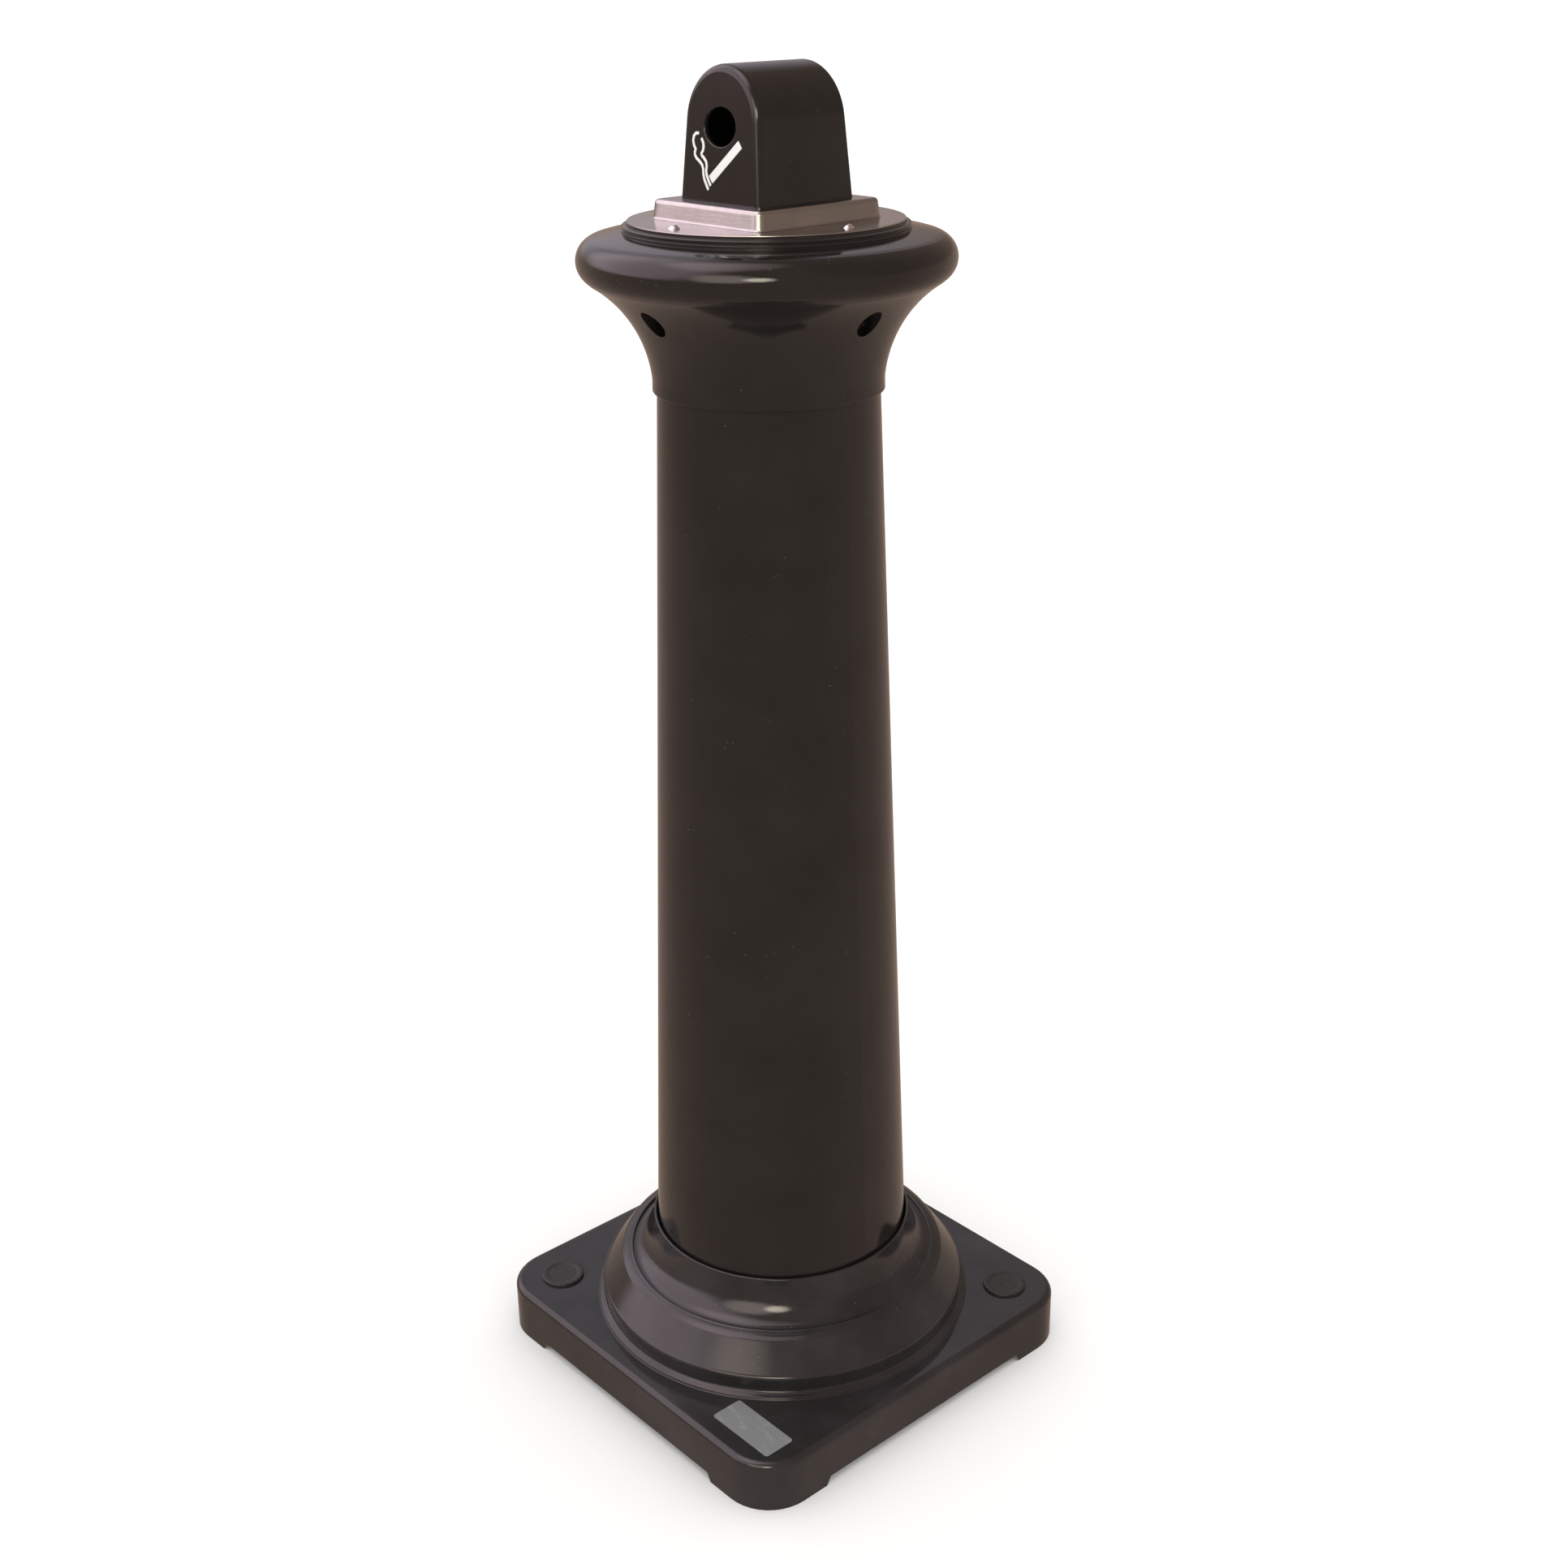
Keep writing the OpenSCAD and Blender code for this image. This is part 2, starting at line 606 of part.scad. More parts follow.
module drop_funnel() color(zinc) difference() {
    flange_t = 1.2;
    top = web_z - flange_t;
    throat = top - funnel_cone_h;
    rotate_extrude() polygon([
        [lid_mouth_r, web_z], [funnel_flange_r, web_z], [funnel_flange_r, top],
        [lid_mouth_r + flange_t, top], [funnel_spout_r, throat],
        [funnel_spout_r, throat - funnel_spout_h],
        [funnel_spout_r - flange_t, throat - funnel_spout_h], [funnel_spout_r - flange_t, throat]]);
    funnel_screw_places() translate([0, 0, top - cut])
        cylinder(r = funnel_screw_r + screw_gap, h = 4);
}

module funnel_screws() color(zinc) funnel_screw_places()
    translate([0, 0, web_z - 1.2]) pan_screw(funnel_screw_r, 3.9, 3, 1.8);

// ---------------------------------------------------------------- pail
pail_top = floor_z + pail_h;
function pail_r(z) = pail_foot_r + (pail_mouth_r - pail_foot_r) * (z - floor_z) / pail_h;

module pail_body() color(zinc) difference() {
    rotate_extrude() {
        polygon([[pail_foot_r - pail_t, floor_z], [pail_foot_r, floor_z],
            [pail_mouth_r, pail_top], [pail_mouth_r - pail_t, pail_top]]);
        translate([pail_mouth_r - pail_t + pail_bead_r, pail_top]) circle(r = pail_bead_r, $fn = 24);
    }
    ear_rivet_places() rod_x(-6, 6, ear_rivet_r + screw_gap);
}

module pail_bottom() color(zinc)
    translate([0, 0, floor_z + pail_bottom_up])
        cylinder(r = pail_foot_r - pail_t - 0.02, h = pail_t);

ear_rivet_r = 1.5;
ear_t = 1.5;
ear_w = 22;
ear_low = 18;                   // how far the ear reaches below the pivot
ear_high = 7;                   // and above it
ear_gap = 0.05;                 // between the ear and the pail's wall
module ear_rivet_places() {
    z = pivot_z - ear_low + 5;
    around(2) for (s = [-1, 1]) translate([pail_r(z) - pail_t, s * 6, z]) children();
}

module pail_ears() color(zinc) difference() {
    low_z = pivot_z - ear_low;
    high_z = pivot_z + ear_high;
    low_r = pail_r(low_z) + ear_gap;
    high_r = pail_r(high_z) + ear_gap;
    union() {
        intersection() {
            rotate_extrude() polygon([[low_r, low_z], [low_r + ear_t, low_z],
                [high_r + ear_t, high_z], [high_r, high_z]]);
            translate([-base_w / 2, -ear_w / 2, 0]) cube([base_w, ear_w, pail_top]);
        }
        around(2) translate([0, 0, pivot_z]) rod_x(pail_r(pivot_z) + 0.6, bail_r - 4, 5.5);
    }
    around(2) translate([0, 0, pivot_z]) rod_x(pail_r(pivot_z) - 2, bail_r, pivot_pin_r + bail_gap);
    ear_rivet_places() rod_x(-3, 8, ear_rivet_r + screw_gap);
}

module ear_rivets() color(zinc) ear_rivet_places() {
    rod_x(-2.2, 3.3, ear_rivet_r);
    translate([2.7, 0, 0]) rotate([0, 90, 0]) dome(3, 1.3);
    translate([-0.8, 0, 0]) rotate([0, -90, 0]) dome(3, 1.2);
}

// the bail as it hangs, turned about its pivots
module hung() {
    translate([0, 0, pivot_z]) rotate([-90 - bail_hang, 0, 0]) rotate([90, 0, 0]) children();
}

module bail_wire() color([0.55, 0.56, 0.57]) hung() {
    past = 2.6;                 // degrees that the bend runs past each pivot
    rotate([0, 0, -past]) rotate_extrude(angle = 180 + 2 * past)
        translate([bail_r, 0]) circle(r = bail_wire_r, $fn = 32);
    around(2) rod_x(pail_r(pivot_z) + 1, bail_r, pivot_pin_r);
}

module bail_grip() color(body_black) hung() rotate([0, 0, 90 - grip_angle / 2])
    rotate_extrude(angle = grip_angle) translate([bail_r, 0]) difference() {
        circle(r = grip_r, $fn = 32);
        circle(r = bail_wire_r + 0.05, $fn = 32);
    }

base_shell();
ballast_plate();
ballast_screws();
base_label();
anchor_plug_left();
anchor_plug_right();
column_tube();
capital_shell();
capital_screws();
lid_ring();
snuff_plate();
plate_rivets();
head_shell();
head_screws();
pictogram();
drop_funnel();
funnel_screws();
pail_body();
pail_bottom();
pail_ears();
ear_rivets();
bail_wire();
bail_grip();
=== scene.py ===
"""Looks of an outdoor ashtray bin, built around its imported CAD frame.

Pieces are drawn in millimetres in the frame's own axes and scaled to metres when their meshes are made.
"""
import math

import bmesh
import bpy
from mathutils import Matrix, Vector


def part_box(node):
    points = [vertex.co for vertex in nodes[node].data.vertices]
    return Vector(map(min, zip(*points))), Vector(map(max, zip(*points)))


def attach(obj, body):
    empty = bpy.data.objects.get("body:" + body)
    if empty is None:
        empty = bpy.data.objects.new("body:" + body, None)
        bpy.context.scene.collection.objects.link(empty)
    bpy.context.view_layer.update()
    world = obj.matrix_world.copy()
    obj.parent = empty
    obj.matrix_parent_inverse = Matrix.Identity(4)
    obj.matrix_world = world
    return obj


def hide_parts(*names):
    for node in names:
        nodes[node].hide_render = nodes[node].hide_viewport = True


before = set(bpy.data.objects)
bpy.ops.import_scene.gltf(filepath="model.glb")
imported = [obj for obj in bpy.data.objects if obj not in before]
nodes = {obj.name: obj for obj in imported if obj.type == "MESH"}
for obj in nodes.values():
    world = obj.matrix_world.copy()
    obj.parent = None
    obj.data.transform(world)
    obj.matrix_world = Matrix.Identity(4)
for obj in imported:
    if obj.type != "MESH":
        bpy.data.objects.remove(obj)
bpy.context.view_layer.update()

MM = 0.001
TURN = 2 * math.pi
AROUND = 240                    # points round a ring
SHARP = math.radians(38)        # edges sharper than this stay crisp


def low(node):
    """Lowest corner of a CAD node, in millimetres."""
    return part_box(node)[0] / MM


def high(node):
    """Highest corner of a CAD node, in millimetres."""
    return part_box(node)[1] / MM


# ------------------------------------------------------------------ driving sizes, in millimetres
base_half = high("base_shell").x
collar_z = high("base_shell").z
column_foot_r = high("column_tube").x
column_foot_z = low("column_tube").z
capital_foot_z = low("capital_shell").z
rim_r = high("capital_shell").x
seat_z = high("capital_shell").z
lid_r = high("lid_ring").x
plate_z = low("snuff_plate").z
plate_r = high("snuff_plate").x
plinth_z = high("snuff_plate").z
head_half_w = high("head_shell").x
head_half_d = -low("head_shell").y
head_top = high("head_shell").z
plug_at = (low("anchor_plug_right").x + high("anchor_plug_right").x) / 2
plug_cap_r = high("anchor_plug_right").x - plug_at
plug_top = high("anchor_plug_right").z

slab_h = high("base_label").z - 0.4
socket_r = column_foot_r + 1.1
sheet = 1.2                     # thickness of the pressed steel


# ------------------------------------------------------------------ outlines
def arc(cx, cy, rx, ry, start, end, steps):
    """Points along an elliptical arc, angles in degrees."""
    angles = [math.radians(start + (end - start) * i / steps) for i in range(steps + 1)]
    return [(cx + rx * math.cos(a), cy + ry * math.sin(a)) for a in angles]


def rounded(corners, steps=4):
    """The closed outline through corners (x, y) or (x, y, fillet), with each fillet as a tangent arc."""
    made = []
    for i, corner in enumerate(corners):
        here = Vector(corner[:2])
        fillet = corner[2] if len(corner) > 2 else 0
        before = Vector(corners[i - 1][:2]) - here
        after = Vector(corners[(i + 1) % len(corners)][:2]) - here
        if fillet == 0 or min(before.length, after.length) == 0:
            made.append(tuple(here))
            continue
        half = before.angle(after) / 2
        if half > math.radians(89):
            made.append(tuple(here))
            continue
        reach = min(fillet / math.tan(half), 0.49 * before.length, 0.49 * after.length)
        start = here + before.normalized() * reach
        end = here + after.normalized() * reach
        for k in range(steps + 1):
            t = k / steps
            made.append(tuple(start * (1 - t) ** 2 + here * 2 * t * (1 - t) + end * t ** 2))
    return made


def round_ring(r, z):
    """A level circle of points."""
    return [Vector((r * math.cos(TURN * i / AROUND), r * math.sin(TURN * i / AROUND), z))
            for i in range(AROUND)]


def square_reach(angle, half, corner):
    """How far a rounded square reaches from its centre in one direction."""
    c, s = sorted((abs(math.cos(angle)), abs(math.sin(angle))), reverse=True)
    straight = half - corner
    if half * s / c <= straight:
        return half / c
    along = straight * (c + s)
    return along + math.sqrt(max(along ** 2 - 2 * straight ** 2 + corner ** 2, 0))


def square_ring(half, corner, z):
    """A level rounded square of as many points as a circle has."""
    made = []
    for i in range(AROUND):
        angle = TURN * i / AROUND
        reach = square_reach(angle, half, corner)
        made.append(Vector((reach * math.cos(angle), reach * math.sin(angle), z)))
    return made


# ------------------------------------------------------------------ meshes
def mesh_object(name, points, faces):
    """A mesh object from points in millimetres, with its faces turned outwards."""
    mesh = bpy.data.meshes.new(name)
    mesh.from_pydata([Vector(p) * MM for p in points], [], faces)
    obj = bpy.data.objects.new(name, mesh)
    bpy.context.scene.collection.objects.link(obj)
    work = bmesh.new()
    work.from_mesh(mesh)
    bmesh.ops.recalc_face_normals(work, faces=work.faces)
    work.to_mesh(mesh)
    work.free()
    return obj


def loft(name, rings, closed=True, caps=False):
    """A skin through rings of points. A ring of one point is a pole; closed joins the last to the first."""
    points, starts = [], []
    for ring in rings:
        starts.append(len(points))
        points.extend(ring)
    faces = []
    pairs = list(zip(range(len(rings)), range(1, len(rings))))
    if closed:
        pairs.append((len(rings) - 1, 0))
    for a, b in pairs:
        many = max(len(rings[a]), len(rings[b]))
        if many == 1:
            continue
        for i in range(many):
            j = (i + 1) % many
            quad = [starts[a] + (i if len(rings[a]) > 1 else 0),
                    starts[a] + (j if len(rings[a]) > 1 else 0),
                    starts[b] + (j if len(rings[b]) > 1 else 0),
                    starts[b] + (i if len(rings[b]) > 1 else 0)]
            faces.append(list(dict.fromkeys(quad)))
    if caps:
        faces.append(list(range(len(rings[0]))))
        faces.append(list(range(starts[-1], len(points))))
    return mesh_object(name, points, faces)


def lathe(name, outline):
    """A closed (radius, height) outline turned about the upright axis."""
    return loft(name, [round_ring(r, z) if r > 1e-6 else [Vector((0, 0, z))] for r, z in outline])


def prism(name, outline, depth):
    """A closed outline in X and Y, drawn from z 0 up to depth."""
    count = len(outline)
    points = [(x, y, z) for z in (0, depth) for x, y in outline]
    sides = [(i, (i + 1) % count, count + (i + 1) % count, count + i) for i in range(count)]
    return mesh_object(name, points, [*sides, range(count), range(count, 2 * count)])


def post(name, r, z0, z1):
    """A plain cylinder on the upright axis."""
    return lathe(name, [(0, z0), (r, z0), (r, z1), (0, z1)])


def placed(obj, matrix):
    """Moves an object's mesh by a matrix given in millimetres."""
    scale = Matrix.Scale(MM, 4)
    obj.data.transform(scale @ matrix @ scale.inverted())
    return obj


def shifted(obj, x=0, y=0, z=0):
    return placed(obj, Matrix.Translation((x, y, z)))


def turned(obj, degrees, axis):
    return placed(obj, Matrix.Rotation(math.radians(degrees), 4, axis))


def carve(target, tool, how="DIFFERENCE"):
    """Cuts a tool out of a target, or unites them, and removes the tool."""
    modifier = target.modifiers.new("carve", "BOOLEAN")
    modifier.object = tool
    modifier.operation = how
    modifier.solver = "MANIFOLD"
    result = bpy.data.meshes.new_from_object(
        target.evaluated_get(bpy.context.evaluated_depsgraph_get()))
    target.modifiers.remove(modifier)
    target.data = result
    bpy.data.objects.remove(tool)
    return target


def finished(obj, body, slot, material, *replaced):
    """Gives a piece its shading, finish and body, and hides the CAD nodes that it stands for."""
    obj.data.materials.clear()
    obj.data.materials.append(material)
    for polygon in obj.data.polygons:
        polygon.use_smooth = True
    obj.data.set_sharp_from_angle(angle=SHARP)
    flat = obj.modifiers.new("flat faces stay flat", "WEIGHTED_NORMAL")
    flat.keep_sharp = True
    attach(obj, body)
    if replaced:
        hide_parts(*replaced)
    return obj


# ------------------------------------------------------------------ materials
class Finish:
    """One procedural material, built from a Principled shader."""

    def __init__(self, name, **constants):
        self.material = bpy.data.materials.new(name)
        self.material.use_nodes = True
        self.tree = self.material.node_tree
        self.shader = self.tree.nodes["Principled BSDF"]
        for socket, value in constants.items():
            self.shader.inputs[socket.replace("_", " ")].default_value = value
        self.place = self.tree.nodes.new("ShaderNodeTexCoord").outputs["Object"]

    def node(self, kind, **values):
        made = self.tree.nodes.new("ShaderNode" + kind)
        for key, value in values.items():
            socket = made.inputs.get(key.replace("_", " "))
            if socket is None:
                setattr(made, key, value)
            elif isinstance(value, bpy.types.NodeSocket):
                self.tree.links.new(value, socket)
            else:
                socket.default_value = value
        return made

    def link(self, output, socket):
        self.tree.links.new(output, self.shader.inputs[socket])

    def stretched(self, x, y, z):
        return self.node("Mapping", Vector=self.place, Scale=(x, y, z)).outputs["Vector"]

    def noise(self, scale, detail=2.0, roughness=0.5, where=None):
        return self.node("TexNoise", Vector=where or self.place, Scale=scale, Detail=detail,
                         Roughness=roughness).outputs["Fac"]

    def ramp(self, value, low_at, high_at, low_to, high_to):
        return self.node("MapRange", Value=value, From_Min=low_at, From_Max=high_at,
                         To_Min=low_to, To_Max=high_to).outputs["Result"]

    def blend(self, factor, first, second):
        made = self.node("Mix", data_type="RGBA")
        for index, value in ((0, factor), (6, first), (7, second)):
            if isinstance(value, bpy.types.NodeSocket):
                self.tree.links.new(value, made.inputs[index])
            elif index:
                made.inputs[index].default_value = (*value, 1)
            else:
                made.inputs[index].default_value = value
        return made.outputs[2]

    def maths(self, operation, first, second=0.0):
        made = self.node("Math", operation=operation)
        for index, value in enumerate((first, second)):
            if isinstance(value, bpy.types.NodeSocket):
                self.tree.links.new(value, made.inputs[index])
            else:
                made.inputs[index].default_value = value
        return made.outputs[0]

    def bumps(self, *layers):
        """Bump from (height, depth in millimetres) layers."""
        normal = None
        for height, depth in layers:
            made = self.node("Bump", Height=height, Distance=depth * MM)
            if normal is not None:
                self.tree.links.new(normal, made.inputs["Normal"])
            normal = made.outputs["Normal"]
        self.link(normal, "Normal")

    def specks(self, scale, size):
        """Sparse small dots, 1 inside and 0 outside."""
        cells = self.node("TexVoronoi", Vector=self.place, Scale=scale)
        chosen = self.maths("GREATER_THAN", self.noise(scale / 7), 0.62)
        inside = self.maths("LESS_THAN", cells.outputs["Distance"], size)
        return self.maths("MULTIPLY", chosen, inside)


def moulded_black(name, dark, pale, gloss, waviness):
    """Dark moulded plastic: faint mottling, dust specks, orange peel and slow waves in the wall."""
    finish = Finish(name, IOR=1.48)
    mottle = finish.ramp(finish.noise(16, 6, 0.6), 0.35, 0.75, 0, 1)
    colour = finish.blend(mottle, dark, pale)
    dusty = finish.blend(finish.specks(260, 0.055), colour, (0.32, 0.31, 0.30))
    finish.link(dusty, "Base Color")
    smears = finish.noise(30, 5, 0.6, finish.stretched(1, 1, 0.35))
    finish.link(finish.ramp(smears, 0.3, 0.75, gloss, gloss + 0.11), "Roughness")
    finish.bumps((finish.noise(7, 1.0), waviness), (finish.noise(700, 2.0), 0.02))
    return finish.material


def plug_black():
    """Matte, slightly pitted plastic of the plugs."""
    finish = Finish("plug_black", IOR=1.46)
    grain = finish.noise(420, 4, 0.7)
    finish.link(finish.blend(finish.ramp(grain, 0.4, 0.7, 0, 1), (0.013, 0.0115, 0.0105),
                             (0.034, 0.031, 0.029)), "Base Color")
    finish.link(finish.ramp(grain, 0.3, 0.7, 0.36, 0.58), "Roughness")
    finish.bumps((grain, 0.18))
    return finish.material


def satin_steel():
    """Stainless sheet with a fine grain along one way and faint stains."""
    finish = Finish("satin_steel", Metallic=1.0, Anisotropic=0.35)
    grain = finish.noise(60, 3, 0.6, finish.stretched(1, 26, 26))
    stains = finish.noise(24, 5, 0.65)
    colour = finish.blend(finish.ramp(stains, 0.35, 0.7, 0, 1), (0.47, 0.46, 0.45),
                          (0.37, 0.36, 0.35))
    finish.link(colour, "Base Color")
    rough = finish.maths("ADD", finish.ramp(grain, 0.3, 0.7, 0.11, 0.19),
                         finish.ramp(stains, 0.35, 0.7, 0.0, 0.07))
    finish.link(rough, "Roughness")
    finish.bumps((grain, 0.02))
    return finish.material


def bright_steel():
    """Turned and polished rivet heads."""
    finish = Finish("bright_steel", Metallic=1.0)
    wear = finish.noise(300, 3)
    finish.link(finish.blend(wear, (0.80, 0.79, 0.78), (0.66, 0.65, 0.64)), "Base Color")
    finish.link(finish.ramp(wear, 0.3, 0.7, 0.14, 0.28), "Roughness")
    finish.bumps((wear, 0.02))
    return finish.material


def galvanised():
    """Zinc-coated sheet: a spangle of crystals, each with its own shade and gloss."""
    finish = Finish("galvanised", Metallic=1.0)
    wobble = finish.noise(90, 2)
    spangle = finish.node("TexVoronoi", Vector=finish.place, Scale=95.0)
    shade = finish.node("SeparateColor", Color=spangle.outputs["Color"]).outputs["Red"]
    finish.link(finish.blend(shade, (0.46, 0.48, 0.50), (0.68, 0.69, 0.70)), "Base Color")
    finish.link(finish.maths("ADD", finish.ramp(shade, 0, 1, 0.28, 0.46),
                             finish.ramp(wobble, 0, 1, 0, 0.08)), "Roughness")
    finish.bumps((wobble, 0.10))
    return finish.material


def zinc_plate(name, colour, rough):
    """Plated wire and screws: near even, a little cloudy."""
    finish = Finish(name, Metallic=1.0)
    cloud = finish.noise(160, 4, 0.6)
    worn = tuple(0.72 * c for c in colour)
    finish.link(finish.blend(finish.ramp(cloud, 0.3, 0.7, 0, 1), colour, worn), "Base Color")
    finish.link(finish.ramp(cloud, 0.3, 0.7, rough, rough + 0.15), "Roughness")
    finish.bumps((finish.noise(900, 2), 0.015))
    return finish.material


def painted_casting():
    """Rough cast iron under dull black paint, with rust showing in places."""
    finish = Finish("painted_casting", IOR=1.5)
    skin = finish.noise(240, 6, 0.7)
    rust = finish.ramp(finish.noise(30, 6, 0.65), 0.58, 0.68, 0, 1)
    finish.link(finish.blend(rust, (0.045, 0.045, 0.047), (0.16, 0.065, 0.030)), "Base Color")
    finish.link(finish.ramp(skin, 0.2, 0.8, 0.55, 0.85), "Roughness")
    finish.bumps((finish.noise(40, 3), 0.5), (skin, 0.25))
    return finish.material


def label_film():
    """Blank satin film, slightly scuffed."""
    finish = Finish("label_film", IOR=1.45)
    scuffs = finish.ramp(finish.noise(60, 6, 0.7, finish.stretched(1, 5, 1)), 0.55, 0.72, 0, 1)
    finish.link(finish.blend(scuffs, (0.20, 0.20, 0.20), (0.32, 0.32, 0.31)), "Base Color")
    finish.link(finish.ramp(scuffs, 0, 1, 0.30, 0.5), "Roughness")
    finish.bumps((finish.noise(120, 2), 0.03))
    return finish.material


def screen_print():
    """White ink with a slightly worn film."""
    finish = Finish("screen_print", IOR=1.45)
    wear = finish.ramp(finish.noise(320, 5, 0.7), 0.60, 0.72, 0, 1)
    finish.link(finish.blend(wear, (0.88, 0.87, 0.85), (0.62, 0.61, 0.59)), "Base Color")
    finish.link(finish.ramp(wear, 0, 1, 0.42, 0.6), "Roughness")
    finish.bumps((finish.noise(500, 3), 0.02))
    return finish.material


body_black = moulded_black("body_black", (0.0105, 0.0085, 0.0078), (0.0160, 0.0135, 0.0125), 0.05, 0.30)
base_black = moulded_black("base_black", (0.0160, 0.0140, 0.0140), (0.0320, 0.0285, 0.0300), 0.06, 0.30)
ring_black = moulded_black("ring_black", (0.0125, 0.0108, 0.0100), (0.0180, 0.0158, 0.0148), 0.16, 0.2)
grip_black = moulded_black("grip_black", (0.020, 0.020, 0.020), (0.030, 0.030, 0.030), 0.42, 0.1)
plug_finish = plug_black()
steel = satin_steel()
rivet_steel = bright_steel()
zinc_sheet = galvanised()
screw_zinc = zinc_plate("screw_zinc", (0.62, 0.61, 0.57), 0.25)
screw_black = zinc_plate("screw_black", (0.07, 0.068, 0.066), 0.35)
wire_zinc = zinc_plate("wire_zinc", (0.52, 0.53, 0.54), 0.30)
casting = painted_casting()
film = label_film()
ink = screen_print()


# ------------------------------------------------------------------ base
wall = 4                        # wall of the base moulding
ring_r = 148                    # where the moulded rings leave the slab
foot_end = 100.5                # a foot's end, measured from the centre line
floor_z = column_foot_z


def ring_profile():
    """The moulded rings from the slab up to the collar, as (radius, height) points."""
    band_r = ring_r - 4
    groove_r = socket_r + 21.5
    groove_z = (slab_h + collar_z) / 2 + 5
    lip_r = socket_r + 2
    return [
        *arc(ring_r - 0.9, slab_h + 1.2, 0.9, 0.9, 0, 70, 4),
        *arc(band_r + 1.4, slab_h + 5.2, 2.2, 2.2, 250, 182, 4),
        *arc(band_r - 4, slab_h + 15, 4, 4, 0, 52, 8),
        *arc(groove_r - 4, slab_h + 12, band_r - groove_r, groove_z - slab_h - 12, 60, 80, 8),
        *arc(groove_r - 0.8, groove_z - 0.8, 0.8, 0.8, 60, 150, 5),
        *arc(groove_r - 1.4, collar_z - 3, groove_r - 1.4 - lip_r,
             collar_z - 3 - groove_z + 1.6, 268, 180, 24),
    ]


def base_skin():
    """Slab, rings, collar and socket in one closed skin with a flat bottom."""
    edge_r = 5
    corner_r = 38
    slab = [square_ring(base_half, corner_r, 0)]
    for x, z in arc(-edge_r, slab_h - edge_r, edge_r, edge_r, 0, 90, 10):
        slab.append(square_ring(base_half + x, corner_r + x, z))
    foot = [round_ring(ring_r + x, z) for x, z in arc(0.9, slab_h + 0.9, 0.9, 0.9, 270, 180, 4)]
    rings = [round_ring(r, z) for r, z in ring_profile()]
    lip_r = socket_r + 2
    inner = [round_ring(r, z) for r, z in (
        *arc(lip_r - 0.8, collar_z - 0.8, 0.8, 0.8, 0, 90, 4),
        *arc(socket_r + 0.6, collar_z - 0.6, 0.6, 0.6, 90, 180, 4), (socket_r, floor_z))]
    pail_ring = [round_ring(r, z) for r, z in rounded([
        (64, floor_z), (64, floor_z + 5, 0.8), (61.5, floor_z + 5, 0.8), (61.5, floor_z)])]
    centre = [[Vector((0, 0, floor_z))], [Vector((0, 0, 0))]]
    return loft("base_moulding", [*slab, *foot, *rings, *inner, *pail_ring, *centre])


def foot_channels():
    """The two channels under the slab that leave its four feet."""
    foot_h = 7
    slope = 4
    reach = 2 * base_half + 2
    outline = [(-foot_end - slope, -1), (foot_end + slope, -1), (foot_end + slope, 0), (foot_end, foot_h),
               (-foot_end, foot_h), (-foot_end - slope, 0)]
    made = []
    for turn in (0, 90):
        channel = prism("channel", outline, reach)
        turned(channel, 90, "X")
        shifted(channel, y=reach / 2)
        made.append(turned(channel, turn, "Z"))
    return made


def base_hollow():
    """The hollow under the slab and the rings, with pads, anchor tubes and screw bosses left standing."""
    inner = base_half - wall
    block = loft("hollow", [[Vector((0, 0, -1))], square_ring(inner, 34, -1),
                            square_ring(inner, 34, slab_h - wall), [Vector((0, 0, slab_h - wall))]])
    under_r = socket_r + wall
    dome = lathe("dome", [(0, slab_h - 8), (140, slab_h - 8), (139.5, slab_h + 13), (124.5, slab_h + 33),
                          (112, slab_h + 38), (107, slab_h + 41), (under_r, slab_h + 46),
                          (under_r, floor_z - wall), (0, floor_z - wall)])
    carve(block, dome, "UNION")
    pad_reach = base_half - foot_end
    for sx in (-1, 1):
        for sy in (-1, 1):
            pad = prism("pad", [(-pad_reach, -pad_reach), (pad_reach, -pad_reach), (pad_reach, pad_reach),
                                (-pad_reach, pad_reach)], 7)
            carve(block, shifted(pad, sx * base_half, sy * base_half, -2))
            boss = post("boss", 7.5, high("ballast_plate").z, slab_h + 1)
            carve(block, shifted(boss, sx * (base_half - 24), sy * 54))
    for side in (-1, 1):
        tube = post("tube", 18, -2, slab_h + 1)
        carve(block, shifted(tube, side * plug_at, side * plug_at))
    return block


def build_base():
    base = base_skin()
    for channel in foot_channels():
        carve(base, channel)
    carve(base, base_hollow())
    for side in (-1, 1):
        recess = lathe("recess", [(0, -1), (5.5, -1), (5.5, 5), (14, 5), (14, slab_h + 1), (0, slab_h + 1)])
        carve(base, shifted(recess, side * plug_at, side * plug_at))
        key = prism("key", [(0, -3), (6.2, -3), (6.2, 3), (0, 3)], 12)
        shifted(key, column_foot_r - 1.5, 0, floor_z - 0.5)
        carve(base, turned(key, 90 - 90 * side, "Z"), "UNION")
    finished(base, "base", "black_plastic", base_black, "base_shell")


def build_label():
    """A blank film on the slab's front corner."""
    lo, hi = low("base_label"), high("base_label")
    corner = 2.5
    outline = rounded([(lo.x, lo.y, corner), (hi.x, lo.y, corner),
                       (hi.x, hi.y, corner), (lo.x, hi.y, corner)], 6)
    label = prism("blank_label", outline, 0.3)
    shifted(label, z=slab_h)
    finished(label, "base", "label_film", film, "base_label")


